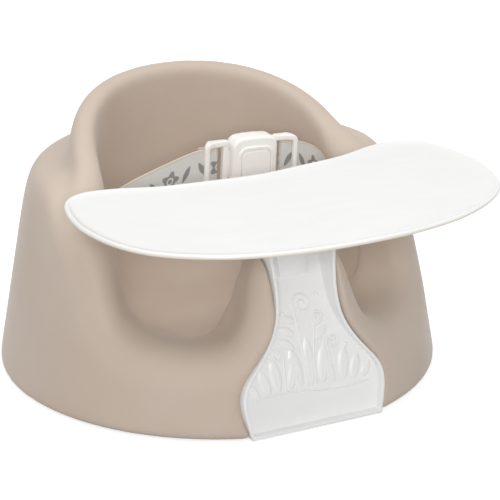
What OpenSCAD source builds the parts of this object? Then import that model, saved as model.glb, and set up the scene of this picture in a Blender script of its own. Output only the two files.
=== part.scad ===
// Baby floor seat. A one-piece moulded foam seat with two leg channels, a play tray whose leg slots into
// the front of the seat, and a waist belt closed by a centre push buckle.
// Millimetres, +Z up, the front of the seat towards -Y, origin on the floor at the middle of the seat.

/* [Seat body] */
// Radius of the seat on the floor
base_r = 189; // [184:1:194]
// Lean of the outer wall, in degrees from upright
wall_lean = 9.6; // [8.5:0.1:10.5]
// Height of the backrest
back_h = 233; // [222:1:245]
// Height of the rim at both sides of the seat
side_h = 176; // [172:1:182]
// Height of the post between the legs
post_h = 151; // [144:1:156]
// Height of the two leg channels
channel_h = 74; // [68:1:80]
// Height of the shoulder that runs round the backrest
shoulder_h = 176; // [172:1:180]
// Radius of the backrest's crest line
hood_r = 117; // [114:1:120]
// How far the centre of the crest line lies in front of the middle of the seat
hood_forward = 10; // [7:1:13]
// How far the wall rolls over at the rim
lip = 27; // [24:1:30]
// How far the wall rolls over beside the post
post_lip = 37; // [27:1:40]
// Radius of the edge round the underside
foot_round = 4; // [2:0.5:5]

/* [Bowl] */
// Radius of the bowl at the belt
bowl_r = 105; // [102:1:107]
// Radius of the bowl's floor
floor_r = 80; // [76:1:84]
// Height of the bowl's floor above the ground
floor_h = 42; // [36:1:48]
// How far the bowl lies in front of the middle of the seat
bowl_forward = 6; // [4:1:8]
// Share by which the leg channels widen the bowl
channel_flare = 0.26; // [0.2:0.02:0.3]
// Angle by which the arm's side of a leg channel turns outwards on its way in
channel_splay = 8; // [0:0.5:10]

/* [Tray] */
// Width of the tray
tray_w = 362; // [350:2:374]
// Depth of the tray, from its horns to its front edge
tray_d = 202.5; // [196:0.5:208]
// Height of the tray's rim above the ground
tray_h = 185; // [183:1:190]
// How far the tray's front edge stands in front of the middle of the seat
tray_reach = 251.5; // [248:0.5:255]
// Thickness of the tray's sheet
tray_t = 3; // [2.4:0.2:3.4]
// Height of the rim over the sheet's underside
rim_h = 5.4; // [5:0.2:6.4]
// Width of the rolled rim
rim_w = 5; // [4:0.5:6]

/* [Tray leg] */
// Width of the leg at its foot
foot_w = 130; // [124:1:134]
// Width of the leg at its waist
waist_w = 57; // [52:1:62]
// Width of the leg under the tray
top_w = 78; // [72:1:84]
// Height of the waist
waist_h = 110; // [104:1:116]
// How far the foot is set in from the round front of the seat
leg_set_in = 8; // [7:0.5:10]
// Lean of the leg's front, in degrees from upright
leg_lean = 11.3; // [10.5:0.1:12]
// Depth of the leg, front to back, under the tray
leg_d = 42; // [36:1:44]
// Depth of the leg at the floor
leg_foot_d = 9; // [8:0.5:10]
// Wall of the leg
leg_t = 3; // [2.4:0.2:3.4]
// How far the foot plate reaches under the seat
foot_reach = 62; // [50:1:70]
// Thickness of the foot plate
foot_t = 4; // [3:0.5:5]

/* [Belt] */
// Width of the webbing
belt_w = 32; // [30:1:34]
// Thickness of the webbing
belt_t = 1.6; // [1.2:0.1:2]
// Height of the slits in the bowl's walls
slit_h = 138; // [135:1:140]
// How far behind the buckle the belt runs into the walls
belt_back = 5; // [3:1:8]
// How far the webbing bows up on its way from the left wall, and from the right one
bow_left = 4; // [2:0.5:6]
bow_right = 9; // [7:0.5:10]
// How deep the anchor bars sit in the walls
anchor_depth = 26; // [22:1:30]
// Diameter of the anchor bars
anchor_d = 8; // [7:0.5:9]
// Length of the folded tails
tail_l = 13; // [12:1:15]

/* [Buckle] */
// Width of the housing
case_w = 43; // [42:0.5:46]
// Height of the housing
case_h = 46; // [44:0.5:49]
// Thickness of the front cover
cover_t = 7.5; // [7:0.25:8.5]
// Thickness of the back shell
shell_t = 7; // [6.75:0.25:8.5]
// Place of the buckle to the right of the middle of the seat
buckle_x = 31.5; // [29:0.5:34]
// Height of the buckle's middle
buckle_z = 170; // [168:0.5:172]
// Slant of the buckle, in degrees down to the right
buckle_slant = 2.5; // [0:0.5:4]
// Width of the push button
button_w = 30; // [28:0.5:30.5]
// Height of the push button
button_h = 27; // [25:0.5:28]
// Travel of the push button
button_travel = 3; // [2.6:0.1:3.1]
// Height of the tongue
tongue_h = 24; // [22:0.5:25]
// Thickness of the tongue
tongue_t = 3; // [2.5:0.1:3.2]
// Diameter of the bars that the webbing goes round
bar_d = 4; // [3.4:0.1:4.4]
// Width of each ladder frame
frame_w = 20.5; // [19.5:0.5:22]
// How far the tongue's frame stands off the housing
frame_out = 4.5; // [3:0.5:5]
// Radius of their outer corners
frame_round = 5; // [2:0.5:8]

/* [Fits] */
// Gap between the leg and its recess in the foam
leg_fit = 1; // [0.6:0.1:1.4]
// Gap between pieces that are moulded into the foam and their pockets
pocket_fit = 0.3; // [0.2:0.05:0.4]
// Running gap of the tongue and the button
slide_fit = 0.15; // [0.1:0.05:0.2]

/* [Hidden] */
$fn = 48;

foam = [0.75, 0.69, 0.64];
white = [0.96, 0.96, 0.96];
cream = [0.94, 0.92, 0.91];
webbing = [0.72, 0.71, 0.69];

// Outside every piece, for cuts that run right through
far = 400;

// --- Curves -----------------------------------------------------------------------------------------

function blend(a, b, k) = a + (b - a) * k;
function clip(x) = min(max(x, 0), 1);
function smooth(a, b, x) = let (t = clip((x - a) / (b - a))) t * t * (3 - 2 * t);
// The distance from the middle to a circle whose centre lies forward of it, at an angle from the front
function off_centre(radius, forward, angle) =
    forward * cos(angle) + sqrt(pow(radius, 2) - pow(forward * sin(angle), 2));

// A smooth curve along a list of points, and one that runs through them. Both take one more point at
// each end, which sets how the curve starts and ends, and u from 0 to 1.
function along(f) = [pow(1 - f, 3), 3 * pow(f, 3) - 6 * f * f + 4, 1 + 3 * f + 3 * f * f - 3 * pow(f, 3), pow(f, 3)] / 6;
function through(f) = [2 * f * f - f - pow(f, 3), 2 - 5 * f * f + 3 * pow(f, 3), f + 4 * f * f - 3 * pow(f, 3),
    pow(f, 3) - f * f] / 2;
function weigh(w, points, k) = w[0] * points[k] + w[1] * points[k + 1] + w[2] * points[k + 2] + w[3] * points[k + 3];
function curve(points, u, pass = false) =
    let (spans = len(points) - 3)
    let (t = clip(u) * spans)
    let (k = min(floor(t), spans - 1))
    weigh(pass ? through(t - k) : along(t - k), points, k);
function free_ends(points) =
    let (n = len(points))
    concat([2 * points[0] - points[1]], points, [2 * points[n - 1] - points[n - 2]]);
function mirror_ends(points) =
    let (n = len(points))
    concat([[-points[1].x, points[1].y]], points, [[-points[n - 2].x, points[n - 2].y]]);

// --- Seat body --------------------------------------------------------------------------------------

columns = 48;
rows = 30;
rim_r = 140;
crease_h = shoulder_h - 2;
base_edge = 4;
wall_slope = tan(wall_lean);

function wall_r(h) = base_r - h * wall_slope;
function polar(p) = [p[1] * sin(p[0]), -p[1] * cos(p[0]), p[2]];

// The rim, from the middle of the front round to the middle of the back: the angle from the front, the
// height, and the angle at which that part of the wall meets the floor.
rim_points = [
    [0, post_h + 2, 0], [7, post_h + 1, 4], [15.5, post_h - 4, 8], [18, channel_h + 34, 12.5],
    [20.5, channel_h - 2, 18], [31, channel_h - 8, 31], [46.5, channel_h - 7, 47], [56, channel_h + 2, 58],
    [61, channel_h + 32, 68], [65, channel_h + 62, 77], [73, side_h - 17, 87], [84.5, side_h, 97.5],
    [99, side_h + 23, 109], [115, back_h - 18, 122], [136, back_h - 6, 140], [158, back_h, 160],
    [180, back_h + 1, 180]
];
rim_line = concat(
    [[-rim_points[1][0], rim_points[1][1], -rim_points[1][2]]],
    rim_points,
    [[360 - rim_points[15][0], rim_points[15][1], 360 - rim_points[15][2]]]
);

// The bowl's wall: a rounded foot, then nearly upright, and wider where the leg channels open into it
function bowl_wall(angle, h, crest) =
    let (k = max((h - floor_h) / (side_h - floor_h), 0))
    let (r = blend(floor_r, bowl_r, 1 - pow(1 - clip(k * 2), 2.6)))
    let (open = smooth(22, 46, angle) * (1 - smooth(60, 95, angle)) * clip(k * 4) * clip(crest / rim_r))
    off_centre(r, bowl_forward, angle) * (1 + channel_flare * open);

// The wall's section at one place on the rim, as [angle, radius, height] points from the floor outside,
// over the rim and down to the middle of the bowl. In front the rim rolls over square to its own line,
// and towards the back it becomes the backrest, which stands on the shoulder.
function wall_section(u) =
    let (rim = curve(rim_line, u))
    let (angle = rim[0], h = rim[1], base_angle = rim[2])
    let (way = u > 0 && u < 1 ? curve(rim_line, u + 0.001) - curve(rim_line, u - 0.001) : [1, 0, 0])
    let (run = way[0] * rim_r * PI / 180, rise = way[1], length = norm([run, rise]))
    let (aside = rise / length, down = -run / length)
    let (hood = smooth(66, 96, angle), post = 1 - smooth(12, 22, angle))
    let (reach = blend(lip, post_lip, post))
    let (crest = blend(wall_r(h) - reach + 1, off_centre(hood_r, hood_forward, angle), hood))
    let (roll = [for (share = [0.05, 0.35, 0.8, 1, 1.25, 1.6])
        let (over = min(share, 1) * reach, drop = max(share - 1, 0) * reach)
        [angle + aside * over / rim_r * 180 / PI, h + down * over - drop]])
    let (crease = min(h - 1, crease_h), low = blend(roll[5][1], shoulder_h - 28, hood))
    let (side = blend(roll[5][0], angle, hood))
    let (ledge = wall_r(shoulder_h))
    let (outside = [
        [base_angle, wall_r(base_edge), base_edge],
        for (share = [0.34, 0.68]) [blend(base_angle, side, share), wall_r(low * share), low * share],
        [side, wall_r(low), low],
        [blend(roll[4][0], angle, hood), blend(wall_r(roll[4][1]), ledge - 1, hood),
            blend(roll[4][1], shoulder_h - 4, hood)],
        [blend(roll[3][0], angle, hood), blend(wall_r(roll[3][1]), ledge - 13, hood),
            blend(roll[3][1], shoulder_h + 1, hood)],
        [blend(roll[2][0], angle, hood), blend(wall_r(roll[2][1]), crest + 15, hood),
            blend(roll[2][1], crease, hood)],
        [blend(roll[1][0], angle, hood), blend(wall_r(roll[1][1]) - blend(4, 12, post), crest + 11, hood),
            blend(roll[1][1], h * 0.6 + crease * 0.4, hood)],
        [angle, crest + blend(15, 8, hood), blend(roll[0][1], h - 1, hood)],
        [angle, crest, h]
    ])
    let (wall_h = max(h + down * blend(24, 20, hood), floor_h + 9))
    let (near = bowl_wall(angle, wall_h, crest))
    let (gather = angle * (1 + (1 - smooth(22, 58, angle)) * (crest / near - 1)))
    let (splay = channel_splay * smooth(46, 60, angle) * (1 - hood))
    let (turn = gather + splay + aside * blend(-2, 0, hood) / near * 180 / PI)
    let (floor_edge = off_centre(floor_r - 4, bowl_forward, base_angle))
    let (inside = [
        [angle + splay / 2, crest - blend(14, 8, hood), h - 1],
        [angle + splay, crest - blend(blend(30, 22, post), 11, hood), h + down * blend(9, 8, hood)],
        [turn, bowl_wall(turn, wall_h, crest), wall_h],
        for (share = [[0.6, 0.75], [0.22, 0.4]])
            let (at = blend(base_angle, turn, share[1]), level = blend(floor_h, wall_h, share[0]))
            [at, bowl_wall(at, level, crest), level],
        [base_angle, floor_edge, floor_h],
        [base_angle, floor_edge * 0.5, floor_h - 2],
        [base_angle, floor_edge * 0.02, floor_h - 2]
    ])
    [for (p = concat(outside, inside)) polar(p)];

// Half of the seat, column by column, and then the closed rings that run right round it
seat_half = [for (i = [0:columns])
    let (line = free_ends(wall_section(i / columns)))
    let (edge = curve(line, 0))
    let (heel = norm([edge.x, edge.y]))
    concat(
        [[edge.x * (1 - foot_round / heel), edge.y * (1 - foot_round / heel), 0]],
        [[edge.x * (1 - foot_round / heel / 4), edge.y * (1 - foot_round / heel / 4), base_edge / 4]],
        [for (j = [0:rows]) curve(line, j / rows)]
    )];
function round_ring(half, j) = concat(
    [for (i = [0:columns]) half[i][j]],
    [for (i = [columns - 1:-1:1]) [-half[i][j].x, half[i][j].y, half[i][j].z]]
);

// A closed skin over rings of equal length, with a flat end on the first and on the last
module skin(rings) {
    n = len(rings[0]);
    m = len(rings);
    sides = [for (j = [0:m - 2], i = [0:n - 1])
        let (a = j * n + i, b = j * n + (i + 1) % n)
        each [[a, b + n, b], [a, a + n, b + n]]];
    first = [for (i = [0:n - 1]) i];
    last = [for (i = [n - 1:-1:0]) (m - 1) * n + i];
    polyhedron([for (ring = rings) each ring], concat([first], sides, [last]));
}

module seat_form() {
    skin([for (j = [0:rows + 2]) round_ring(seat_half, j)]);
}

module seat_body() {
    color(foam)
    difference() {
        seat_form();
        leg_recess();
        for (side = [-1, 1]) belt_slit(side);
        for (side = [-1, 1]) anchor_bar(side, pocket_fit);
    }
}

// --- Belt -------------------------------------------------------------------------------------------

anchor_x = bowl_r + anchor_depth;
belt_y = -5;
anchor_y = belt_y + belt_back;
// The gap between webbing and the bar or housing that it touches
web_gap = 0.1;
buckle_y = belt_y + belt_t / 2;
function bar_x(side) = case_w / 2 + frame_w / 2 - 0.5 + (side < 0 ? frame_out : 0);

function in_buckle(x, z) = [
    buckle_x + x * cos(buckle_slant) + z * sin(buckle_slant),
    buckle_z - x * sin(buckle_slant) + z * cos(buckle_slant)
];
module place_buckle() {
    translate([buckle_x, buckle_y, buckle_z])
    rotate([0, buckle_slant, 0])
    children();
}

// The belt's centre line, from the anchor to the bar of its ladder frame. It leaves the wall level and
// square, comes forward round the child, and meets the frame square to the bar. The left one keeps its
// line until it is clear of the frame that slides along it.
function belt_line(side) =
    let (lead_l = side < 0 ? frame_w - 2 : frame_w / 2 - 2)
    let (bar = in_buckle(side * bar_x(side), 0), clear = in_buckle(side * (bar_x(side) + lead_l), 0))
    let (end = [bar.x, belt_y, bar.y], lead = [clear.x, belt_y, clear.y])
    let (wall = [side * (bowl_r + 6), anchor_y, slit_h], span = lead - wall)
    let (bow = side < 0 ? bow_left : bow_right)
    free_ends([
        [side * anchor_x, anchor_y, slit_h], [side * (anchor_x - 9), anchor_y, slit_h], wall,
        wall + [span.x * 0.3, 0, span.z * 0.3 + bow], wall + span * 0.65 + [0, 0, bow * 0.6],
        lead, blend(lead, end, 0.5), end
    ]);

// The webbing as one unbroken ribbon, as [position, direction square to its width] pairs: from its end
// behind the anchor, round the anchor bar, through the wall and across the bowl, round the bar of the
// ladder frame, and back behind itself as the folded tail. Between the bars the weave shears, so its width
// stays in line with them.
belt_steps = 30;
turn_step = 18;
anchor_turn = anchor_d / 2 + web_gap + belt_t / 2;
bar_turn = bar_d / 2 + web_gap + belt_t / 2;
function belt_way(side, u) = -side * blend([1, 0], [cos(buckle_slant), -sin(buckle_slant)], u);
function belt_at(side, u, behind = 0) = [curve(belt_line(side), u) + [0, behind, 0], belt_way(side, u)];
function belt_path(side) =
    let (bar = in_buckle(side * bar_x(side), 0), line = belt_line(side), steps = 60)
    let (tail_end = max([for (i = [0:steps]) if (norm(curve(line, i / steps) - curve(line, 1)) > tail_l) i / steps]))
    concat(
        [for (a = [200:-turn_step:-70]) [
            [side * (anchor_x + anchor_turn * cos(a)), anchor_y + anchor_turn * (1 + sin(a)), slit_h], [-side, 0]]],
        [for (i = [0:belt_steps]) belt_at(side, i / belt_steps)],
        [for (a = [turn_step:turn_step:180 - turn_step])
            let (way = belt_way(side, 1), out = bar_turn * sin(a))
            [[bar.x + way.x * out, belt_y + bar_turn * (1 - cos(a)), bar.y + way.y * out], way]],
        [for (i = [0:8]) belt_at(side, blend(1, tail_end, i / 8), 2 * bar_turn)]
    );
module ribbon(path, width, thickness) {
    skin([for (i = [0:len(path) - 1])
        let (ahead = path[min(i + 1, len(path) - 1)][0] - path[max(i - 1, 0)][0])
        let (across = [-path[i][1].y, 0, path[i][1].x] * width / 2)
        let (square = cross(ahead, across))
        let (depth = square / norm(square) * thickness / 2)
        [for (corner = [[1, 1], [-1, 1], [-1, -1], [1, -1]])
            path[i][0] + across * corner.x + depth * corner.y]]);
}
module belt(side) {
    ribbon(belt_path(side), belt_w, belt_t);
}

// The slit that lets the webbing through the foam to its anchor, which follows the belt's line
module belt_slit(side) {
    steps = 12;
    inner_end = 0.6;
    line = [for (i = [0:steps]) belt_at(side, i / steps * inner_end)];
    function slit_edge(out) = [for (p = line) [p[0].x, p[0].z] + [-p[1].y, p[1].x] * out];
    half_w = belt_w / 2 + leg_fit;
    lower = slit_edge(-half_w);
    translate([0, anchor_y + belt_t / 2 + leg_fit, 0])
    rotate([90, 0, 0])
    linear_extrude(belt_t + 2 * leg_fit)
    polygon(concat(slit_edge(half_w), [for (i = [steps:-1:0]) lower[i]]));
}

module anchor_bar(side, gap = 0) {
    stub = (belt_w + 2) / 2;
    flange_t = 4;
    translate([side * anchor_x, anchor_y + anchor_turn, slit_h]) {
        if (gap > 0)
            cylinder(r = anchor_turn + belt_t / 2 + 1.5 * leg_fit, h = 2 * stub + flange_t, center = true);
        cylinder(d = anchor_d + 2 * gap, h = 2 * (stub + flange_t + gap), center = true);
        for (end = [-1, 1])
            translate([0, 0, end * (stub + flange_t / 2)])
            cylinder(r = anchor_d + gap, h = flange_t + 2 * gap, center = true);
    }
}

module strap_anchor_left() { color(cream) anchor_bar(-1); }
module strap_anchor_right() { color(cream) anchor_bar(1); }
module belt_left() { color(webbing) belt(-1); }
module belt_right() { color(webbing) belt(1); }

// --- Buckle -----------------------------------------------------------------------------------------
// Modelled level, with the joint between cover and shell in the plane y = 0, then put in its place.

case_wall = 1.8;
case_round = 8;
cover_front = 1.6;
button_x = 0.5;
flange_out = 2;
flange_t = 1.5;
button_proud = 0.8;
catch_h = button_travel - slide_fit;
tongue_y = slide_fit;
tongue_back = tongue_y + tongue_t;
tongue_tip = case_w / 2 - 5.5;
shoulder_x = button_x - button_w / 2 - slide_fit;
finger_t = 1.4;
finger_h = 10;
finger_root = tongue_tip - 4;
catch_l = 7;
window_h = finger_h + 3;
frame_h = belt_w + 1.5;
rail_t = 4;
frame_depth = bar_d + 0.4;

// A plate with rounded upright corners, standing in the plane of the belt from y0 to y1
module plate(w, h, y0, y1, r) {
    translate([0, y1, 0])
    rotate([90, 0, 0])
    linear_extrude(y1 - y0)
    rounded(w, h, r);
}
module rounded(w, h, r) {
    square([w - 2 * r, h], center = true);
    square([w, h - 2 * r], center = true);
    for (x = [-1, 1], z = [-1, 1])
        translate([x * (w / 2 - r), z * (h / 2 - r)])
        circle(r);
}
module block(x0, x1, y0, y1, z0, z1) {
    translate([x0, y0, z0]) cube([x1 - x0, y1 - y0, z1 - z0]);
}

// A ladder frame at one side: two rails, the bar that the webbing turns round, and a rail in front of
// the webbing at the outer end
module ladder_frame(side, inner) {
    bar = bar_x(side);
    outer = bar + frame_w / 2;
    front = -belt_t - 2 * web_gap;
    rail_w = 3;
    rail_d = 3.2;
    intersection() {
        plate(2 * outer, frame_h + 2 * rail_t, -far, far, frame_round);
        ladder_rails(side, inner, outer, front, rail_w, rail_d);
    }
    translate([side * bar, bar_d / 2 + web_gap, 0])
    cylinder(d = bar_d, h = frame_h + rail_t, center = true);
}

module ladder_rails(side, inner, outer, front, rail_w, rail_d) {
    bar = bar_x(side);
    for (end = [-1, 1])
        translate([0, 0, end * (frame_h / 2 + rail_t / 2)])
        linear_extrude(rail_t, center = true)
        polygon([[side * inner, 0.1], [side * (bar + 1), front], [side * (outer - rail_w), front - rail_d],
            [side * outer, front - rail_d], [side * outer, front], [side * (bar + 4), frame_depth],
            [side * inner, frame_depth]]);
    translate([side * (outer - rail_w / 2), front - rail_d / 2, 0])
    cube([rail_w, rail_d, frame_h + rail_t], center = true);
}

module buckle_back_shell() {
    inside_w = case_w - 2 * case_wall;
    post = (button_h / 2 + flange_out) - tongue_h / 2 - 2 * slide_fit;
    stop = button_travel - cover_t + cover_front + flange_t + slide_fit;
    color(cream)
    place_buckle()
    union() {
        difference() {
            plate(case_w, case_h, 0, shell_t, case_round);
            block(-far, tongue_tip + 1, -1, tongue_back + slide_fit, -tongue_h / 2 - slide_fit, tongue_h / 2 + slide_fit);
            block(shoulder_x - 2, finger_root + 2, -1, shell_t - case_wall, -window_h / 2, window_h / 2);
        }
        for (end = [-1, 1])
            translate([button_x, 0, end * (tongue_h / 2 + 2 * slide_fit + post / 2)])
            translate([0, (stop + 0.5) / 2, 0])
            cube([button_w - 6, 0.5 - stop, post - 2 * slide_fit], center = true);
        ladder_frame(1, case_w / 2 - 2);
    }
}

module buckle_front_cover() {
    bevel = 2.2;
    color(cream)
    place_buckle()
    difference() {
        union() {
            plate(case_w, case_h, -cover_t + bevel, 0, case_round);
            hull() {
                plate(case_w, case_h, -cover_t + bevel, -cover_t + bevel + 0.1, case_round, $fn = 32);
                plate(case_w - 2 * bevel, case_h - 2 * bevel, -cover_t, -cover_t + 0.1, case_round - bevel, $fn = 32);
            }
        }
        translate([button_x, 0, 0]) {
            plate(button_w + 2 * slide_fit, button_h + 2 * slide_fit, -far / 10, 1, 3);
            block(-button_w / 2 - slide_fit, button_w / 2 + slide_fit, -cover_t + cover_front, 1,
                -button_h / 2 - flange_out - slide_fit, button_h / 2 + flange_out + slide_fit);
        }
    }
}

module release_button() {
    seat = -cover_t + cover_front + slide_fit / 3;
    back = seat + flange_t;
    color(white)
    place_buckle()
    translate([button_x, 0, 0])
    union() {
        plate(button_w, button_h, -cover_t - button_proud, back, 3);
        block(-button_w / 2, button_w / 2, seat, back, -button_h / 2 - flange_out, button_h / 2 + flange_out);
        translate([shoulder_x - button_x, 0, 0])
        block(1, catch_l - 1, back - 0.5, -catch_h - 0.1, -finger_h / 2 + 1, finger_h / 2 - 1);
    }
}

module latch_tongue() {
    color(cream)
    place_buckle()
    union() {
        difference() {
            block(-case_w / 2 - frame_out - 1, tongue_tip, tongue_y, tongue_back, -tongue_h / 2, tongue_h / 2);
            block(shoulder_x - 2, finger_root, -far, far, -window_h / 2, window_h / 2);
        }
        translate([-case_w / 2, 0, 0])
        block(-frame_out - 1, -0.5, tongue_y, frame_depth, -frame_h / 2 - rail_t, frame_h / 2 + rail_t);
        ladder_frame(-1, case_w / 2 + 0.5);
    }
}

module latch_finger() {
    color(cream)
    place_buckle()
    union() {
        block(shoulder_x + 0.1, finger_root, tongue_y + 0.5, tongue_y + 0.5 + finger_t, -finger_h / 2, finger_h / 2);
        block(shoulder_x + 0.1, shoulder_x + catch_l, -catch_h, tongue_y + 1, -finger_h / 2, finger_h / 2);
    }
}

// --- Tray -------------------------------------------------------------------------------------------

tray_under = tray_h - rim_h;
leg_slope = tan(leg_lean);
function leg_front(h) = -(base_r - leg_set_in) + h * leg_slope;

// Half of the tray's outline, from the middle of the front round the horn to the middle of the hollow
// rear edge, as shares of half the width and of the depth
tray_shares = [
    [0, 0], [0.31, 0.02], [0.6, 0.095], [0.84, 0.24], [0.96, 0.42], [1, 0.66],
    [0.945, 0.9], [0.83, 1], [0.66, 0.99], [0.46, 0.93], [0.22, 0.9], [0, 0.88]
];
tray_half = mirror_ends([for (p = tray_shares) [p.x * tray_w / 2, -tray_reach + p.y * tray_d]]);
tray_steps = 54;
tray_line = concat(
    [for (i = [0:tray_steps]) curve(tray_half, i / tray_steps, true)],
    [for (i = [tray_steps - 1:-1:1]) let (p = curve(tray_half, i / tray_steps, true)) [-p.x, p.y]]
);
// The outline drawn in by a distance, at a height
function tray_ring(inset, h) = [for (i = [0:len(tray_line) - 1])
    let (n = len(tray_line), way = tray_line[(i + 1) % n] - tray_line[(i + n - 1) % n])
    let (p = tray_line[i] - [way.y, -way.x] / norm(way) * inset)
    [p.x, p.y, h]];

plug_w = top_w + 8;
plug_d = leg_d + 10;
plug_t = 3;
plug_y = leg_front(tray_under) + leg_d / 2 - 3;
collar_t = 2;

module plug_plate(w, d, h) {
    translate([0, plug_y, tray_under - h])
    linear_extrude(h)
    rounded(w, d, 8);
}

module tray_top() {
    sheet = tray_under + tray_t;
    color(white)
    union() {
        skin([
            tray_ring(3 * rim_w, tray_under), tray_ring(rim_w, tray_under), tray_ring(0.3 * rim_w, tray_under + 0.2 * rim_h),
            tray_ring(0, tray_under + 0.55 * rim_h), tray_ring(0.2 * rim_w, tray_under + 0.88 * rim_h),
            tray_ring(0.5 * rim_w, tray_h), tray_ring(0.8 * rim_w, tray_under + 0.93 * rim_h),
            tray_ring(1.2 * rim_w, tray_under + 0.72 * rim_h), tray_ring(2 * rim_w, sheet + 0.4), tray_ring(3 * rim_w, sheet)
        ]);
        difference() {
            plug_plate(plug_w + 2 * (slide_fit + collar_t), plug_d + 2 * (slide_fit + collar_t), plug_t + 2);
            plug_plate(plug_w + 2 * slide_fit, plug_d + 2 * slide_fit, far);
        }
    }
}

// --- Tray leg ---------------------------------------------------------------------------------------

// Half widths of the leg at heights, from the floor to above the tray's underside
leg_widths = free_ends([
    [foot_w / 2 - 5, 0], [foot_w / 2 - 2, 12], [foot_w / 2 + 1, 27], [foot_w / 2 - 1, 42], [foot_w / 2 - 14, 56],
    [blend(waist_w, foot_w, 0.3) / 2, waist_h - 40], [waist_w / 2 + 2, waist_h - 23], [waist_w / 2 - 0.5, waist_h - 6],
    [waist_w / 2 - 0.5, waist_h + 12], [waist_w / 2 + 2, waist_h + 35],
    [blend(waist_w, top_w, 0.5) / 2, tray_under - 12], [top_w / 2, tray_under + 6]
]);
leg_steps = 40;
module leg_outline(inset) {
    half = [for (i = [0:leg_steps]) curve(leg_widths, i / leg_steps) - [inset, 0]];
    polygon(concat(half, [for (i = [leg_steps:-1:0]) [-half[i].x, half[i].y]]));
}
module leg_front_view(inset) {
    rotate([90, 0, 0])
    linear_extrude(far)
    leg_outline(inset);
}
// How deep the leg is at a height, and its side view from one depth behind its front to another
function leg_depth(h) = leg_foot_d + (leg_d - leg_foot_d) * pow(clip(h / tray_under), 2);
module leg_side_view(front, back, low, high, wide = far) {
    steps = 20;
    translate([-wide / 2, 0, 0])
    rotate([90, 0, 90])
    linear_extrude(wide)
    polygon(concat(
        [[leg_front(high) + front, high], [leg_front(low) + front, low]],
        [for (i = [0:steps]) let (h = blend(low, high, i / steps)) [leg_front(h) + leg_depth(h) + back, h]]
    ));
}
module leg_solid(inset, front, back, low, high) {
    intersection() {
        leg_front_view(inset);
        leg_side_view(front, back, low, high);
    }
}

foot_plate_w = foot_w - 34;
foot_back = leg_front(0) + foot_reach;
module foot_plate(gap, front) {
    r = 12;
    translate([0, 0, -gap])
    linear_extrude(foot_t + 2 * gap)
    union() {
        translate([-foot_plate_w / 2 - gap, front]) square([foot_plate_w + 2 * gap, foot_back - front - r]);
        translate([-foot_plate_w / 2 + r, front]) square([foot_plate_w - 2 * r, foot_back - front + gap]);
        for (x = [-1, 1]) translate([x * (foot_plate_w / 2 - r), foot_back - r]) circle(r + gap);
    }
}

// The room that the seat leaves for the leg, open to the front and over the post, and for its foot plate
module leg_recess() {
    leg_solid(-leg_fit, -far / 4, leg_fit, -10, tray_h);
    foot_plate(leg_fit, -base_r - 10);
}

module tray_leg() {
    leg_top = tray_under - plug_t + 0.5;
    rib_w = waist_w * 0.46;
    rib_low = waist_h + 8;
    rib_out = 9;
    color(white)
    union() {
        difference() {
            leg_solid(0, 0, 0, 0, leg_top);
            leg_solid(leg_t, -far / 4, -leg_t, leg_t, tray_h);
        }
        translate([-rib_w / 2, 0, 0])
        rotate([90, 0, 90])
        linear_extrude(rib_w)
        polygon([for (h = [rib_low, leg_top]) [leg_front(h) + leg_depth(h) - 1, h],
            [leg_front(leg_top) + leg_depth(leg_top) - leg_t - rib_out, leg_top],
            [leg_front(rib_low) + leg_depth(rib_low) - leg_t - 1, rib_low]]);
        foot_plate(0, leg_front(0) + leg_foot_d - 2);
        plug_plate(plug_w, plug_d, plug_t);
    }
}

seat_body();
strap_anchor_left();
strap_anchor_right();
belt_left();
belt_right();
buckle_back_shell();
buckle_front_cover();
release_button();
latch_tongue();
latch_finger();
tray_top();
tray_leg();
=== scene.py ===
# %% [markdown]
# # A baby floor seat with a play tray
# The real object is a tub of moulded foam with two leg channels, a white tray whose leg slots into
# the front of the tub, and a waist belt with a push buckle. Its CAD model gives every size and
# every joint. This lesson loads that model as a fixed frame, and then dresses it: softer forms,
# edges that catch the light, and materials with the detail of the real ones.

import math
from contextlib import contextmanager

import bpy
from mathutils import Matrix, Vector


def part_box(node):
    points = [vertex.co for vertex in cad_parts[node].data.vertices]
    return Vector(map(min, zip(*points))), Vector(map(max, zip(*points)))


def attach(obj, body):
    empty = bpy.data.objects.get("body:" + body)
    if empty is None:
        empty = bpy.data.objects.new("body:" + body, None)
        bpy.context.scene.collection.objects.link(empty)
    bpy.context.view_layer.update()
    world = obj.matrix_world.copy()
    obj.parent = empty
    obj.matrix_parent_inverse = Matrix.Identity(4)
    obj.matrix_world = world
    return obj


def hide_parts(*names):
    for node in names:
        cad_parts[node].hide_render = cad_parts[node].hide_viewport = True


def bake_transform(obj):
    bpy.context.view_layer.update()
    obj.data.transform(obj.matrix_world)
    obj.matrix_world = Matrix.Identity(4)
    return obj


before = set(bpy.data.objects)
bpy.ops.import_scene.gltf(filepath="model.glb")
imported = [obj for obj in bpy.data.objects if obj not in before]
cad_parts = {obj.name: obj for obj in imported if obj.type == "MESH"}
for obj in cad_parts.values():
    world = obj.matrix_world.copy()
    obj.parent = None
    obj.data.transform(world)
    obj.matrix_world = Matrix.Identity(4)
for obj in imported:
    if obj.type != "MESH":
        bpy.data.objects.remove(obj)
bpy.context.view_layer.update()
mm = 0.001
print("nodes:", sorted(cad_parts))

# %% [markdown]
# ## The camera
# The photograph was taken with a long lens from the left front, a little above the seat. Straight
# lines hardly converge in it, so the camera stands two metres away with a long lens. It looks at a
# point inside the seat.

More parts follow.
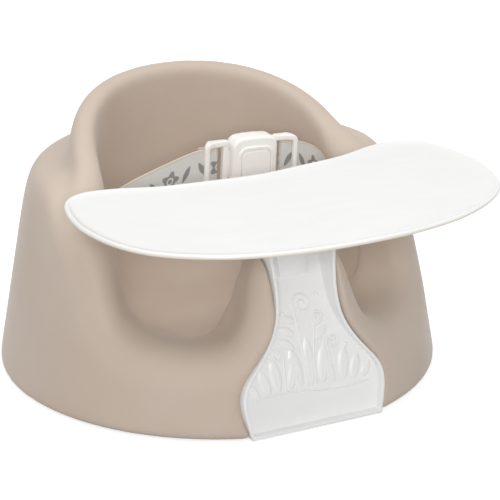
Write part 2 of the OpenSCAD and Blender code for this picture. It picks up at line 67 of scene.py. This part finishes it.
# %% Camera
azimuth, elevation, distance = math.radians(-27.8), math.radians(20.6), 2.0
towards_camera = Vector((
    math.sin(azimuth) * math.cos(elevation),
    -math.cos(azimuth) * math.cos(elevation),
    math.sin(elevation),
))
camera_right = Vector((math.cos(azimuth), math.sin(azimuth), 0))
aim_right, aim_up = 0.0287, 0.0933
aim = camera_right * aim_right + Vector((0, 0, aim_up))
camera = bpy.data.objects.new("camera", bpy.data.cameras.new("camera"))
bpy.context.scene.collection.objects.link(camera)
camera.location = aim + towards_camera * distance
camera.rotation_euler = (-towards_camera).to_track_quat("-Z", "Y").to_euler()
camera.data.lens = 167
camera.data.clip_end = 100
bpy.context.scene.camera = camera
print("camera at", [round(value, 3) for value in camera.location])

# %% [markdown]
# ## Small tools for modelling
# Blender's operators act on whatever is selected, and after loading that is the whole frame. So
# each step first puts everything down and picks up one piece. Faces, edges and vertices are picked
# by a test on their place, because there is no hand here to click on them.

# %% Picking pieces and parts of pieces
def put_down():
    """Leaves edit mode and deselects everything."""
    if bpy.context.object and bpy.context.object.mode != "OBJECT":
        bpy.ops.object.mode_set(mode="OBJECT")
    bpy.ops.object.select_all(action="DESELECT")


def pick(*pieces):
    """Selects these pieces alone, and makes the first one active."""
    put_down()
    for piece in pieces:
        piece.select_set(True)
    bpy.context.view_layer.objects.active = pieces[0]
    return pieces[0]


@contextmanager
def editing(piece, kind="FACE", test=None):
    """Edit mode on one piece. Selects the parts of a kind that pass the test, or else all of them."""
    pick(piece)
    mesh = piece.data
    parts = {"VERT": mesh.vertices, "EDGE": mesh.edges, "FACE": mesh.polygons}
    if test:
        for group in parts.values():
            group.foreach_set("select", [False] * len(group))
        for part in parts[kind]:
            part.select = bool(test(part))
    bpy.ops.object.mode_set(mode="EDIT")
    bpy.ops.mesh.select_mode(type=kind)
    if not test:
        bpy.ops.mesh.select_all(action="SELECT")
    yield piece
    bpy.ops.object.mode_set(mode="OBJECT")


def middle(piece, edge):
    """The middle of an edge."""
    first, second = [piece.data.vertices[index].co for index in edge.vertices]
    return (first + second) / 2


def apply(piece, kind, **settings):
    """Adds a modifier with these settings and applies it."""
    pick(piece)
    modifier = piece.modifiers.new(kind.lower(), kind)
    for name, value in settings.items():
        setattr(modifier, name, value)
    bpy.ops.object.modifier_apply(modifier=modifier.name)
    return piece


def triangles(piece):
    """How many triangles a piece has."""
    piece.data.calc_loop_triangles()
    return len(piece.data.loop_triangles)


print("picking tools ready")

# %% [markdown]
# The shapes of the CAD pieces never change. Where a form needs a softer or richer skin, the piece
# starts as a copy of the CAD mesh. That mesh comes as loose triangles, so the copy is merged first.
# A subdivision surface also wants faces with four sides, so a helper joins the triangles in pairs.

# %% Copying a CAD piece
def copy_of(node, name, flat_angle=0.5):
    """A closed copy of a CAD node. Flat areas become one face each where flat_angle is given."""
    piece = bpy.data.objects.new(name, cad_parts[node].data.copy())
    bpy.context.scene.collection.objects.link(piece)
    pick(piece)
    bpy.ops.mesh.customdata_custom_splitnormals_clear()
    with editing(piece, "VERT"):
        bpy.ops.mesh.remove_doubles(threshold=0.01 * mm)
        if flat_angle:
            bpy.ops.mesh.dissolve_limited(angle_limit=math.radians(flat_angle))
    piece.data.materials.clear()
    return piece


def join_in_pairs(piece, face_angle):
    """Joins triangles in pairs to four-sided faces, where they meet at less than face_angle."""
    with editing(piece, "FACE"):
        bpy.ops.mesh.tris_convert_to_quads(
            face_threshold=math.radians(face_angle), shape_threshold=math.radians(60)
        )


def finished(piece, body, slot, material, *stands_for):
    """Gives a piece its material, hangs it on the body it rides on, and hides the CAD nodes it stands
    for.
    """
    piece.data.materials.clear()
    piece.data.materials.append(material)
    if stands_for:
        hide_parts(*stands_for)
    if body:
        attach(piece, body)
    print(piece.name, triangles(piece), "triangles")
    return piece


print("copying tools ready")

# %% [markdown]
# ## Writing materials as plain maths
# A material is a net of nodes. Wired by hand, a simple sum takes four lines. The small class here
# wraps one output of a node, so that `a * 2 + b` lays down the Math nodes itself. Every other kind
# of node is added with one method, and colours go through a Mix node.

# %% Wires
class Wire:
    """One output in a material's net of nodes."""

    def __init__(self, tree, socket):
        self.tree, self.socket = tree, socket

    def node(self, kind, inputs, output=0, **settings):
        """Adds a node of any kind. Inputs go from a socket's name or number to a wire or a value."""
        made = self.tree.nodes.new(kind)
        for name, value in settings.items():
            setattr(made, name, value)
        for key, value in inputs.items():
            if isinstance(value, Wire):
                self.tree.links.new(value.socket, made.inputs[key])
            else:
                made.inputs[key].default_value = value
        return Wire(self.tree, made.outputs[output])

    def maths(self, operation, *others):
        """A sum of this wire, which comes first, and the others."""
        return self.node("ShaderNodeMath", dict(enumerate((self, *others))), operation=operation)

    def __add__(self, other):
        return self.maths("ADD", other)

    def __radd__(self, other):
        return self.maths("ADD", other)

    def __sub__(self, other):
        return self.maths("SUBTRACT", other)

    def __rsub__(self, other):
        return self.node("ShaderNodeMath", {0: other, 1: self}, operation="SUBTRACT")

    def __mul__(self, other):
        return self.maths("MULTIPLY", other)

    def __pow__(self, other):
        return self.maths("POWER", other)

    def __mod__(self, other):
        return self.maths("FLOORED_MODULO", other)

    def __abs__(self):
        return self.maths("ABSOLUTE")

    def larger(self, other):
        """This wire or the other, whichever is larger."""
        return self.maths("MAXIMUM", other)

    def wave(self, length):
        """A wave from -1 to 1 that repeats once in each length."""
        return (self * (2 * math.pi / length)).maths("SINE")

    def ramp(self, start, end):
        """0 before start and 1 after end, with a soft rise between."""
        limits = {0: self, 1: start, 2: end, 3: 0.0, 4: 1.0}
        return self.node("ShaderNodeMapRange", limits, interpolation_type="SMOOTHSTEP")

    def mix(self, first, second):
        """The first colour where this wire is 0 and the second where it is 1."""
        return self.node("ShaderNodeMix", {0: self, 6: first, 7: second}, 2, data_type="RGBA")

    def axes(self):
        """The three numbers of a vector, as wires."""
        return [self.node("ShaderNodeSeparateXYZ", {0: self}, axis) for axis in range(3)]

    def noise(self, scale, detail=2.0, stretch=(1, 1, 1)):
        """A cloudy pattern from 0 to 1 at places given by this wire."""
        place = self.node("ShaderNodeMapping", {"Vector": self, "Scale": stretch})
        return self.node("ShaderNodeTexNoise", {"Vector": place, "Scale": scale, "Detail": detail})


def colour(red, green, blue):
    """A colour as seen on the screen, 0 to 255, turned into the linear numbers that Blender uses."""
    linear = [((value / 255 + 0.055) / 1.055) ** 2.4 for value in (red, green, blue)]
    return (*linear, 1.0)


def new_material(name, coordinate="Object"):
    """A new material, its main shader, and a wire that carries each point's place on the piece."""
    material = bpy.data.materials.new(name)
    material.use_nodes = True
    tree = material.node_tree
    shader = tree.nodes["Principled BSDF"]
    place = Wire(tree, tree.nodes.new("ShaderNodeTexCoord").outputs[coordinate])
    return material, shader, place


def wire_up(shader, base=None, roughness=None, height=None, bump=0.5, depth=0.1 * mm):
    """Links the finished wires to the shader. Height is in units of depth."""
    tree = shader.id_data
    if base:
        tree.links.new(base.socket, shader.inputs["Base Color"])
    if roughness:
        tree.links.new(roughness.socket, shader.inputs["Roughness"])
    if height:
        normal = height.node("ShaderNodeBump", {"Height": height, "Strength": bump, "Distance": depth})
        tree.links.new(normal.socket, shader.inputs["Normal"])


print("tools ready")

# %% [markdown]
# ## The foam
# The tub is cast in one piece from polyurethane foam with a dense skin of its own. The skin is matt
# and feels like soft leather: it has a very fine grain, and its colour clouds a little where the
# foam rose unevenly. Four noises do that, from a hand wide down to under a millimetre.

# %% Foam material
foam, shader, place = new_material("foam_skin")
clouds = place.noise(7.0, 2.0)
grain = place.noise(1300.0, 3.0)
ripple = place.noise(160.0, 2.0)
rubbed = place.noise(38.0, 4.0)
tone = (clouds * 0.8 + rubbed * 0.2).ramp(0.25, 0.75)
wire_up(
    shader,
    base=tone.mix(colour(197, 180, 165), colour(206, 191, 177)),
    roughness=0.5 + rubbed * 0.1 + grain * 0.08,
    height=grain * 0.55 + ripple * 0.45,
    bump=0.35,
    depth=0.12 * mm,
)
shader.inputs["Specular IOR Level"].default_value = 0.5
shader.inputs["Sheen Weight"].default_value = 0.2
shader.inputs["Sheen Roughness"].default_value = 0.4
print("foam material:", len(foam.node_tree.nodes), "nodes")

# %% [markdown]
# ## The plastics
# The tray and its leg are glossy white polypropylene. A moulded sheet is never optically flat: slow
# waves bend the reflections a little, and wiping leaves its gloss uneven. On the tray, the faces that
# don't look up get painted shade and painted warm light bounced from the foam, as a creamier colour.
# The buckle is acetal, warmer in colour and satin, with a fine spark-eroded grain.

# %% Plastic materials
def plastic(name, tint, gloss, grain_size, grain_height, painted_shade_sides=False):
    """A moulded plastic: its colour, how rough its shine is, and the size and height of its grain.

    The last option paints shade and warm light from the foam on faces that don't look up, in cream.
    """
    material, shader, place = new_material(name)
    waves = place.noise(14.0, 1.0)
    speck = place.noise(1 / grain_size, 2.0)
    wiped = place.noise(30.0, 4.0, stretch=(1, 3, 3))
    shade = [value * 0.97 for value in tint[:3]] + [1.0]
    base = (wiped * 0.5 + waves * 0.5).ramp(0.3, 0.7).mix(shade, tint)
    if painted_shade_sides:
        # Painted shade and painted warm bounce light from the foam: faces that don't look up turn
        # creamier.
        painted_side_shade = [tint[0] * 0.93, tint[1] * 0.89, tint[2] * 0.8, 1.0]
        looks_up = place.node("ShaderNodeNewGeometry", {}, "Normal").axes()[2]
        base = looks_up.ramp(0.15, 0.7).mix(painted_side_shade, base)
    wire_up(
        shader,
        base=base,
        roughness=gloss + wiped.ramp(0.4, 0.8) * 0.08 + speck * 0.03,
        height=waves * 0.6 + speck * grain_height,
        bump=0.2,
        depth=0.12 * mm,
    )
    shader.inputs["IOR"].default_value = 1.49
    return material


tray_plastic = plastic(
    "tray_plastic", colour(241, 241, 239), 0.13, 1.2 * mm, 0.02, painted_shade_sides=True
)
leg_plastic = plastic("leg_plastic", colour(245, 245, 245), 0.3, 1.0 * mm, 0.04)
acetal = plastic("buckle_acetal", colour(249, 246, 241), 0.3, 0.35 * mm, 0.5)
print("plastics:", [material.name for material in (tray_plastic, leg_plastic, acetal)])

# %% [markdown]
# ## The tub
# The CAD copy has flat facets a finger wide, and crisp edges where the recess for the tray's leg is
# cut. Cast foam has neither. First the triangles are joined to quads, so that a subdivision surface
# can round the facets without dimples. Only the cut edges and the underside keep a crease. A voxel
# remesh then gives an even skin, and a little smoothing rolls the cut edges over, as a mould does.
# Smoothing shrinks a form, so the skin is pushed out again a little. The front round the recess is
# smoothed further, in two zones.

# %% Tub
tub = copy_of("seat_body", "seat_foam", flat_angle=0)
join_in_pairs(tub, 50)
with editing(tub, "EDGE"):
    bpy.ops.mesh.select_all(action="DESELECT")
    bpy.ops.mesh.edges_select_sharp(sharpness=math.radians(62))
    bpy.ops.transform.edge_crease(value=1)
apply(tub, "SUBSURF", levels=2, render_levels=2)
foam_voxel, pushed_out = 2.42 * mm, 0.6 * mm
apply(tub, "REMESH", mode="VOXEL", voxel_size=foam_voxel, use_smooth_shade=True)
apply(tub, "SMOOTH", factor=0.5, iterations=7)
apply(tub, "DISPLACE", strength=pushed_out, mid_level=0)


def round_recess(vertex, y_from, y_to):
    """Whether a vertex is in the front's middle, off the floor, between these depths in mm."""
    x, y, z = vertex.co
    return abs(x) < 80 * mm and z > 12 * mm and y_from * mm < y < y_to * mm


for y_from, y_to, repeats in [(-200, -40, 17), (-135, -40, 22)]:
    with editing(tub, "VERT", lambda vertex: round_recess(vertex, y_from, y_to)):
        bpy.ops.mesh.vertices_smooth(factor=0.5, repeat=repeats)
pick(tub)
bpy.ops.object.shade_smooth()
finished(tub, "seat", "foam", foam, "seat_body")

# %% [markdown]
# ## The tray
# The tray is a thin injection-moulded sheet with a rolled rim, so that crumbs stay on it and no
# edge can cut. The CAD rings already follow the roll. Subdivision makes the roll round, and creases
# keep the collar underneath crisp.

# %% Tray
tray = copy_of("tray_top", "tray_sheet", flat_angle=0)
rim_height = 5.4 * mm
sheet_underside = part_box("tray_top")[1].z - rim_height
join_in_pairs(tray, 50)
with editing(tray, "EDGE", lambda edge: middle(tray, edge).z < sheet_underside - 0.1 * mm):
    bpy.ops.transform.edge_crease(value=1)
with editing(tray, "VERT"):
    bpy.ops.mesh.dissolve_limited(angle_limit=math.radians(0.2))
apply(tray, "SUBSURF", levels=2, render_levels=2)
pick(tray)
bpy.ops.object.shade_smooth_by_angle(angle=math.radians(40))
finished(tray, "tray", "tray_plastic", tray_plastic, "tray_top")

# %% [markdown]
# ## The leg of the tray
# The leg is a channel, open to the front, that grows deeper towards the tray. Its edges are rounded
# so that the mould lets it go. A narrow bevel on the CAD copy does this, and gives each edge its
# bright line.

# %% Leg
leg = copy_of("tray_leg", "tray_leg_moulding")
apply(
    leg, "BEVEL", width=0.7 * mm, segments=2, limit_method="ANGLE", angle_limit=math.radians(40),
    use_clamp_overlap=False,
)
pick(leg)
bpy.ops.object.shade_smooth_by_angle(angle=math.radians(35))
finished(leg, "tray", "tray_plastic", leg_plastic, "tray_leg")

# %% [markdown]
# ## The relief on the leg
# The front of the leg carries a shallow relief of plants: blades that stand on a low hill, and
# young ferns that climb to the waist. One leaf is modelled from a disc: it is drawn long, given a
# tip, raised in two steps by insets, and its middle line is pressed in as a rib.

# %% One leaf
put_down()
bpy.ops.mesh.primitive_circle_add(vertices=16, radius=1, fill_type="NGON")
leaf = bpy.context.object
leaf.name = "leaf"
leaf_wide, leaf_long = 0.84, 2.2
with editing(leaf, "FACE"):
    bpy.ops.transform.resize(value=(leaf_wide / 2, 1, 1))
with editing(leaf, "VERT", lambda vertex: vertex.co.y > 0.95):
    bpy.ops.transform.translate(value=(0, 0.22, 0))
with editing(leaf, "FACE"):
    bpy.ops.mesh.inset(thickness=0.1, depth=0.55)
    bpy.ops.mesh.inset(thickness=0.1, depth=0.35)
    bpy.ops.mesh.bisect(plane_co=(0, 0, 0), plane_no=(1, 0, 0))


def on_rib(vertex):
    """Whether a vertex lies on the raised middle line of the leaf."""
    x, y, z = vertex.co
    return abs(x) < 0.01 and abs(y) < 0.8 and z > 0.7


with editing(leaf, "VERT", on_rib):
    bpy.ops.transform.translate(value=(0, 0, -0.4))
apply(leaf, "SUBSURF", levels=2, render_levels=2)
print("leaf:", triangles(leaf), "triangles")

# %% [markdown]
# Copies of the leaf are laid on the panel. A ray cast from the front finds the panel under each
# vertex, so the relief follows its slope. Every leaf is sunk in a little, so that no gap shows at
# its foot.

# %% Leaves on the panel
def panel(x, z):
    """The point on the leg's front panel at this place."""
    hit, point, _, _ = leg.ray_cast(Vector((x, -0.5, z)), Vector((0, 1, 0)))
    return point if hit else Vector((x, 0, z))


def lay_leaf(x, z, length, width, lean):
    """A copy of the leaf with its foot at x, z, leaning by an angle to the right."""
    copy = bpy.data.objects.new("relief", leaf.data.copy())
    bpy.context.scene.collection.objects.link(copy)
    turn = math.radians(lean)
    for vertex in copy.data.vertices:
        across = vertex.co.x * width / leaf_wide
        up = (vertex.co.y + 1) / leaf_long * length
        spot_x = x + across * math.cos(turn) + up * math.sin(turn)
        spot_z = z - across * math.sin(turn) + up * math.cos(turn)
        on_panel = panel(spot_x, spot_z)
        vertex.co = (spot_x, on_panel.y + leaf_sunk - vertex.co.z * leaf_height, spot_z)
    return copy


leaf_height, leaf_sunk = 1.8 * mm, 0.15 * mm
# For each leaf: x and z of its foot, its length and its width in mm, and its lean in degrees
blades = [
    (-48, 28, 17, 9, -30), (-38, 30, 24, 10, -18), (-29, 31, 31, 11, -8),
    (-19, 31, 24, 9, 14), (-9, 31, 36, 12, -10), (1, 31, 42, 12, 0),
    (11, 31, 36, 12, 10), (21, 30, 24, 9, -12), (30, 30, 30, 11, 8),
    (39, 30, 23, 10, 18), (48, 30, 16, 9, 30),
]
sprig_leaves = [
    (-11, 62, 17, 8, -52), (-9, 73, 16, 7.5, -60), (-6, 83, 14, 7, -70),
    (9, 66, 17, 8, 50), (8, 77, 15, 7, 58),
]
relief = [
    lay_leaf(*[value * mm for value in sizes], lean) for *sizes, lean in blades + sprig_leaves
]
print("leaves laid:", len(relief))

# %% [markdown]
# The hill line and the ferns are bent rods, half sunk in the panel. A curve with a round bevel
# makes such a rod, and its points are found on the panel in the same way. The berries are short,
# broad leaves. Then all of the relief is joined into one piece.

# %% Ferns, hill line and berries
def rod(points, radius):
    """A round rod along points on the panel, as a mesh."""
    line = bpy.data.curves.new("rod", "CURVE")
    line.dimensions = "3D"
    line.bevel_depth = radius
    line.bevel_resolution = 3
    line.use_fill_caps = True
    spline = line.splines.new("POLY")
    spline.points.add(len(points) - 1)
    for point, (x, z) in zip(spline.points, points):
        point.co = (*panel(x, z), 1)
    made = bpy.data.objects.new("relief", line)
    bpy.context.scene.collection.objects.link(made)
    pick(made)
    bpy.ops.object.convert(target="MESH")
    return bpy.context.object


def fern(x, z, size, foot_x, hand):
    """A young fern's line: a stem that rises from foot_x and rolls in round x, z. All in mm."""
    foot_z, stem_steps, roll_steps = 31, 10, 30
    line = []
    for step in range(stem_steps):
        risen = step / stem_steps
        stem_x = foot_x + (x + hand * size - foot_x) * risen ** 2
        line.append((stem_x, foot_z + (z - foot_z) * step / stem_steps))
    for turn in range(roll_steps):
        left, angle = 1 - turn / 34, turn / 3
        line.append((x + hand * size * left * math.cos(angle), z + size * left * math.sin(angle)))
    return [(along * mm, up * mm) for along, up in line]


hill = [(x * mm, (28 + 2.5 * math.sin((x + 60) / 19)) * mm) for x in range(-54, 56, 3)]
ferns = [
    (2, 95, 9, -3, -1), (-27, 60, 5.5, -23, 1), (25, 62, 6, 21, -1), (15, 84, 4, 5, -1),
]
berries = [(-17, 88), (17, 98), (-35, 55), (36, 56), (-16, 52), (15, 53)]
berry_size, hill_radius, fern_radius = 5 * mm, 1 * mm, 1.1 * mm
relief.append(rod(hill, hill_radius))
for bend in ferns:
    relief.append(rod(fern(*bend), fern_radius))
for x, z in berries:
    relief.append(lay_leaf(x * mm, z * mm, berry_size, berry_size, 0))
bpy.data.objects.remove(leaf)
pick(*relief)
bpy.ops.object.join()
leg_relief = bpy.context.object
leg_relief.name = "leg_relief"
pick(leg_relief)
bpy.ops.object.shade_smooth()
finished(leg_relief, "tray", "tray_plastic", leg_plastic)

# %% [markdown]
# ## The buckle
# The buckle's housing, button and ladder frames are small mouldings with soft edges, rounder than a
# plain bevel gives, because the webbing has to slide over them. A raised ring frames the button,
# and the button carries a flat pad. Both start as a plane whose corners are bevelled, and get their
# thickness from a Solidify modifier. The ring is such a plate with its middle taken out.

# %% Parts of the mouldings
buckle_low, buckle_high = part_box("buckle_front_cover")
buckle_middle = (buckle_low + buckle_high) / 2
half_wide, half_tall = (buckle_high.x - buckle_low.x) / 2, (buckle_high.z - buckle_low.z) / 2
cover_face = buckle_low.y
tilt = math.radians(2.5)


def rounded_plate(name, wide, tall, radius, front, back, rim=0):
    """A plate with round corners at the buckle's middle. With a rim width it is a ring."""
    put_down()
    bpy.ops.mesh.primitive_plane_add(size=1, rotation=(math.radians(90), 0, 0))
    plate = bpy.context.object
    plate.name = name
    bpy.ops.object.transform_apply(rotation=True)
    plate.scale = (wide, 1, tall)
    bpy.ops.object.transform_apply(scale=True)
    with editing(plate, "VERT"):
        bpy.ops.mesh.bevel(offset=radius, segments=8, affect="VERTICES")
    if rim:
        with editing(plate, "FACE"):
            bpy.ops.mesh.inset(thickness=rim)
            bpy.ops.mesh.delete(type="FACE")
    apply(plate, "SOLIDIFY", thickness=back - front, offset=0)
    plate.location = (buckle_middle.x, (front + back) / 2, buckle_middle.z)
    plate.rotation_euler = (0, tilt, 0)
    bpy.ops.object.transform_apply(location=True, rotation=True)
    with editing(plate, "FACE"):
        bpy.ops.mesh.normals_make_consistent(inside=False)
    return plate


bezel = rounded_plate(
    "bezel", 33 * mm, 29.5 * mm, 7.5 * mm, cover_face - 1.3 * mm, cover_face + 2 * mm, rim=2.4 * mm
)
pad = rounded_plate(
    "pad", 27.4 * mm, 23.9 * mm, 5.6 * mm, cover_face - 1.5 * mm, cover_face + 2 * mm
)
print("bezel and pad:", triangles(bezel), triangles(pad), "triangles")

# %% [markdown]
# The ring joins the front cover and the pad joins the button. A fine voxel remesh then melts them
# in, and with some smoothing it rounds every edge and inner corner alike. The button's own front
# goes back first, so that only the pad shows. The housing is crowned a little, as a moulding that
# sits well in the hand is.

# %% Buckle
moulding_voxel, moulding_smoothing = 0.4 * mm, 5


def moulded(node, name, added=None):
    """A copy of a CAD node, joined with what is added to it, with all its edges rounded."""
    piece = copy_of(node, name, flat_angle=0)
    if name == "push_button":
        with editing(piece, "VERT", lambda vertex: vertex.co.y < cover_face + 0.4 * mm):
            bpy.ops.transform.translate(value=(0, 1 * mm, 0))
    if added:
        pick(added, piece)
        bpy.context.view_layer.objects.active = piece
        bpy.ops.object.join()
    apply(piece, "REMESH", mode="VOXEL", voxel_size=moulding_voxel, use_smooth_shade=True)
    apply(piece, "SMOOTH", factor=0.5, iterations=moulding_smoothing)
    pick(piece)
    bpy.ops.object.shade_smooth()
    return piece


def crown(piece, rise, bulge):
    """Bows a piece's ends outwards by rise and its face forwards by bulge, most in the middle."""
    for vertex in piece.data.vertices:
        across = min(abs(vertex.co.x - buckle_middle.x) / half_wide, 1)
        along = (vertex.co.z - buckle_middle.z) / half_tall
        vertex.co.z += rise * (1 - across ** 2) * along
        vertex.co.y -= bulge * (1 - across ** 2) * (1 - min(abs(along), 1) ** 2)


def on_frame(vertex):
    """Whether a vertex is beside the housing, on a ladder frame."""
    return abs(vertex.co.x - buckle_middle.x) > half_wide + 1 * mm


frame_swell = 0.6 * mm
for node, name, body, rise, bulge, added in [
    ("buckle_front_cover", "buckle_cover", "seat", 1.8 * mm, 0.8 * mm, bezel),
    ("buckle_back_shell", "buckle_shell_with_frame", "seat", 1.8 * mm, 0, None),
    ("latch_tongue", "tongue_with_frame", "tongue", 0, 0, None),
    ("release_button", "push_button", "button", 0, 0.8 * mm, pad),
]:
    piece = moulded(node, name, added)
    with editing(piece, "VERT", on_frame):
        bpy.ops.transform.shrink_fatten(value=frame_swell)
    crown(piece, rise, bulge)
    finished(piece, body, "buckle_plastic", acetal, node)

# %% [markdown]
# Three pieces keep their CAD shape and only get their plastic. The two anchors are cast into the
# foam and never show. The spring finger of the latch is inside the housing, and shows when the
# tongue is out.

# %% Pieces inside
inside = ("latch_finger", "strap_anchor_left", "strap_anchor_right")
for node in inside:
    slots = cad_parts[node].data.materials
    slots.clear()
    slots.append(acetal)
print("kept as in the CAD:", inside)

# %% [markdown]
# ## The webbing
# The belt is flat woven webbing with a printed pattern and a bound edge. A weave has to follow the
# band wherever it bends, so it can't read plain coordinates: the band gets a UV map that is
# measured in metres, one axis along the band and one across it. The map is found by walking from
# one end of the CAD band to the other, ring of vertices by ring.

# %% Measuring the band
def rings_along(piece):
    """The band's vertices in rings of four, from one end to the other."""
    near = {vertex.index: set() for vertex in piece.data.vertices}
    for edge in piece.data.edges:
        first, second = edge.vertices
        near[first].add(second)
        near[second].add(first)
    corners = {index for index, others in near.items() if len(others) == 3}
    ends = [
        face for face in piece.data.polygons
        if len(face.vertices) == 4 and set(face.vertices) <= corners
    ]
    rings, seen = [list(ends[0].vertices)], set(ends[0].vertices)
    while True:
        ring = {other for index in rings[-1] for other in near[index]} - seen
        if not ring:
            return rings
        rings.append(list(ring))
        seen |= ring


print("ready to walk along a band")

# %% [markdown]
# The print is drawn with sums on that map. Each cell along the band holds a flower of five petals
# with a ring for its eye, and a leaf on either side. The ink is a little faded, as on a belt that
# has been washed. Near the selvedges the bound edge and its row of stitches stand up a little.

# %% Webbing material
def webbing(name, width):
    """Woven webbing that reads the band's UV map: along in u, across in v, both in metres."""
    material, shader, place = new_material(name, "UV")
    along, across, _ = place.axes()
    weave = (along + across * 0.7).wave(1.5 * mm) * 0.6 + across.wave(1.1 * mm) * 0.4
    cell = 46 * mm
    cell_x = along % cell - cell / 2
    cell_y = across + 1 * mm
    from_middle = (cell_x * cell_x + cell_y * cell_y) ** 0.5
    petals = (cell_y.maths("ARCTAN2", cell_x) * 5).maths("COSINE")
    flower = 1 - (from_middle - petals * 1.6 * mm).ramp(6.6 * mm, 7.4 * mm)
    eye = 1 - abs(from_middle - 2.6 * mm).ramp(0.5 * mm, 0.9 * mm)
    leaf_x = abs(cell_x) - 15.5 * mm
    tilted = leaf_x * 0.5 + cell_y * 0.87
    beside = leaf_x * 0.87 - cell_y * 0.5
    leaflet = 1 - (abs(beside) + tilted * tilted * (1 / (22 * mm))).ramp(2.2 * mm, 2.8 * mm)
    printed = (flower - eye).larger(leaflet)
    faded = printed * (0.55 + place.noise(900.0, 2.0) * 0.5)
    edge = abs(across).ramp(width / 2 - 2.4 * mm, width / 2 - 2.1 * mm)
    seam = 1 - abs(abs(across) - (width / 2 - 3.4 * mm)).ramp(0.25 * mm, 0.5 * mm)
    stitch = seam * along.wave(3.2 * mm).ramp(-0.4, 0.1)
    cloth = (weave * 0.5 + 0.5).mix(colour(208, 207, 203), colour(224, 222, 218))
    inked = faded.mix(cloth, colour(116, 114, 112))
    bound = edge.mix(inked, colour(214, 203, 190))
    wire_up(
        shader,
        base=(stitch * 0.6).mix(bound, colour(222, 217, 209)),
        roughness=0.78 + weave * 0.08,
        height=weave * (1 - edge * 0.6) * 0.5 + edge * 0.8 + stitch * 0.9,
        bump=0.7,
        depth=0.22 * mm,
    )
    shader.inputs["Sheen Weight"].default_value = 0.25
    return material


band_width = 32 * mm
band_cloth = webbing("belt_webbing", band_width)
print("webbing material:", len(band_cloth.node_tree.nodes), "nodes")

# %% [markdown]
# The selvedges of real webbing are rounded, and its run is an even curve. So the long edges get a
# small bevel, and one subdivision evens out the steps of the CAD band. Modifiers carry the UV map
# along.

# %% Bands
def band(node, name):
    """The webbing of one side, with its UV map in metres."""
    piece = copy_of(node, name, flat_angle=0)
    join_in_pairs(piece, 60)
    rings = rings_along(piece)
    place_of = {}
    travelled, last = 0.0, None
    for ring in rings:
        corners = [piece.data.vertices[index].co.copy() for index in ring]
        centre = sum(corners, Vector()) / len(corners)
        travelled += (centre - last).length if last else 0.0
        last = centre
        for index, corner in zip(ring, corners):
            across = math.copysign((corner - centre).length, corner.z - centre.z)
            place_of[index] = (travelled, across)
    layer = piece.data.uv_layers.new(name="band")
    for loop in piece.data.loops:
        layer.data[loop.index].uv = place_of[loop.vertex_index]
    print(name, "rings:", len(rings), "length:", round(travelled, 3))
    apply(
        piece, "BEVEL", width=0.5 * mm, segments=2, limit_method="ANGLE",
        angle_limit=math.radians(60),
    )
    apply(piece, "SUBSURF", levels=2, render_levels=2)
    pick(piece)
    bpy.ops.object.shade_smooth()
    return piece


left_band = band("belt_left", "webbing_left")
right_band = band("belt_right", "webbing_right")
finished(right_band, "seat", "webbing", band_cloth, "belt_right")
finished(left_band, None, "webbing", band_cloth, "belt_left")
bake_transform(left_band)

# %% [markdown]
# ## Floor and light
# The photograph is a catalogue picture: a white floor with hardly a shadow, and light from
# everywhere. So the world lights the seat evenly, and two lamps add a little: a large one above,
# and a small one near the camera. The floor is matt grey paint. For the camera and for reflections
# alone it also glows, so that it shows as white without more light on the seat.

# %% Floor
put_down()
bpy.ops.mesh.primitive_plane_add(size=30, location=(0, 0, -0.6 * mm))
floor = bpy.context.object
floor.name = "floor"
with editing(floor, "FACE"):
    bpy.ops.mesh.subdivide(number_cuts=3)
floor_paint, shader, _ = new_material("floor_paint")
tree = floor_paint.node_tree


def seen_directly(tree):
    """1 for what the camera, a reflection or glass sees, and 0 for the light that things get."""
    rays = tree.nodes.new("ShaderNodeLightPath")
    kinds = ("Is Camera Ray", "Is Glossy Ray", "Is Transmission Ray")
    camera_ray, glossy_ray, glass_ray = [Wire(tree, rays.outputs[kind]) for kind in kinds]
    return camera_ray.larger(glossy_ray).larger(glass_ray)


glow = seen_directly(tree).mix((0, 0, 0, 1), (0.7, 0.7, 0.7, 1))
tree.links.new(glow.socket, shader.inputs["Emission Color"])
shader.inputs["Emission Strength"].default_value = 1.0
shader.inputs["Base Color"].default_value = (0.5, 0.5, 0.5, 1)
shader.inputs["Roughness"].default_value = 0.9
shader.inputs["Specular IOR Level"].default_value = 0.1
floor.data.materials.append(floor_paint)
print("floor ready")

# %% [markdown]
# The world has two sides in the same way: the backdrop that the camera sees is plain white, and the
# light that the seat gets from it is weaker. The lamps are square softboxes that look at the seat's
# middle.

# %% World
world = bpy.data.worlds.new("studio")
bpy.context.scene.world = world
world.use_nodes = True
tree = world.node_tree
tree.nodes.clear()
light = tree.nodes.new("ShaderNodeBackground")
light.inputs["Color"].default_value = (1.0, 1.0, 1.0, 1)
light.inputs["Strength"].default_value = 0.63
backdrop = tree.nodes.new("ShaderNodeBackground")
backdrop.inputs["Color"].default_value = (1, 1, 1, 1)
either = tree.nodes.new("ShaderNodeMixShader")
tree.links.new(seen_directly(tree).socket, either.inputs["Fac"])
tree.links.new(light.outputs["Background"], either.inputs[1])
tree.links.new(backdrop.outputs["Background"], either.inputs[2])
output = tree.nodes.new("ShaderNodeOutputWorld")
tree.links.new(either.outputs["Shader"], output.inputs["Surface"])
print("world ready")

# %% Softboxes
def softbox(name, place, size, watts):
    """A square area light that shines at the seat."""
    lamp = bpy.data.lights.new(name, "AREA")
    lamp.shape, lamp.size, lamp.energy = "SQUARE", size, watts
    stand = bpy.data.objects.new(name, lamp)
    bpy.context.scene.collection.objects.link(stand)
    stand.location = place
    stand.rotation_euler = (seat_middle - Vector(place)).to_track_quat("-Z", "Y").to_euler()


seat_middle = Vector((0, 0, 0.1))
softbox("softbox_above", (0, -0.2, 1.9), 1.6, 12)
softbox("softbox_camera", tuple(aim + towards_camera * 1.9), 0.4, 10)
bpy.context.scene.view_settings.view_transform = "Standard"
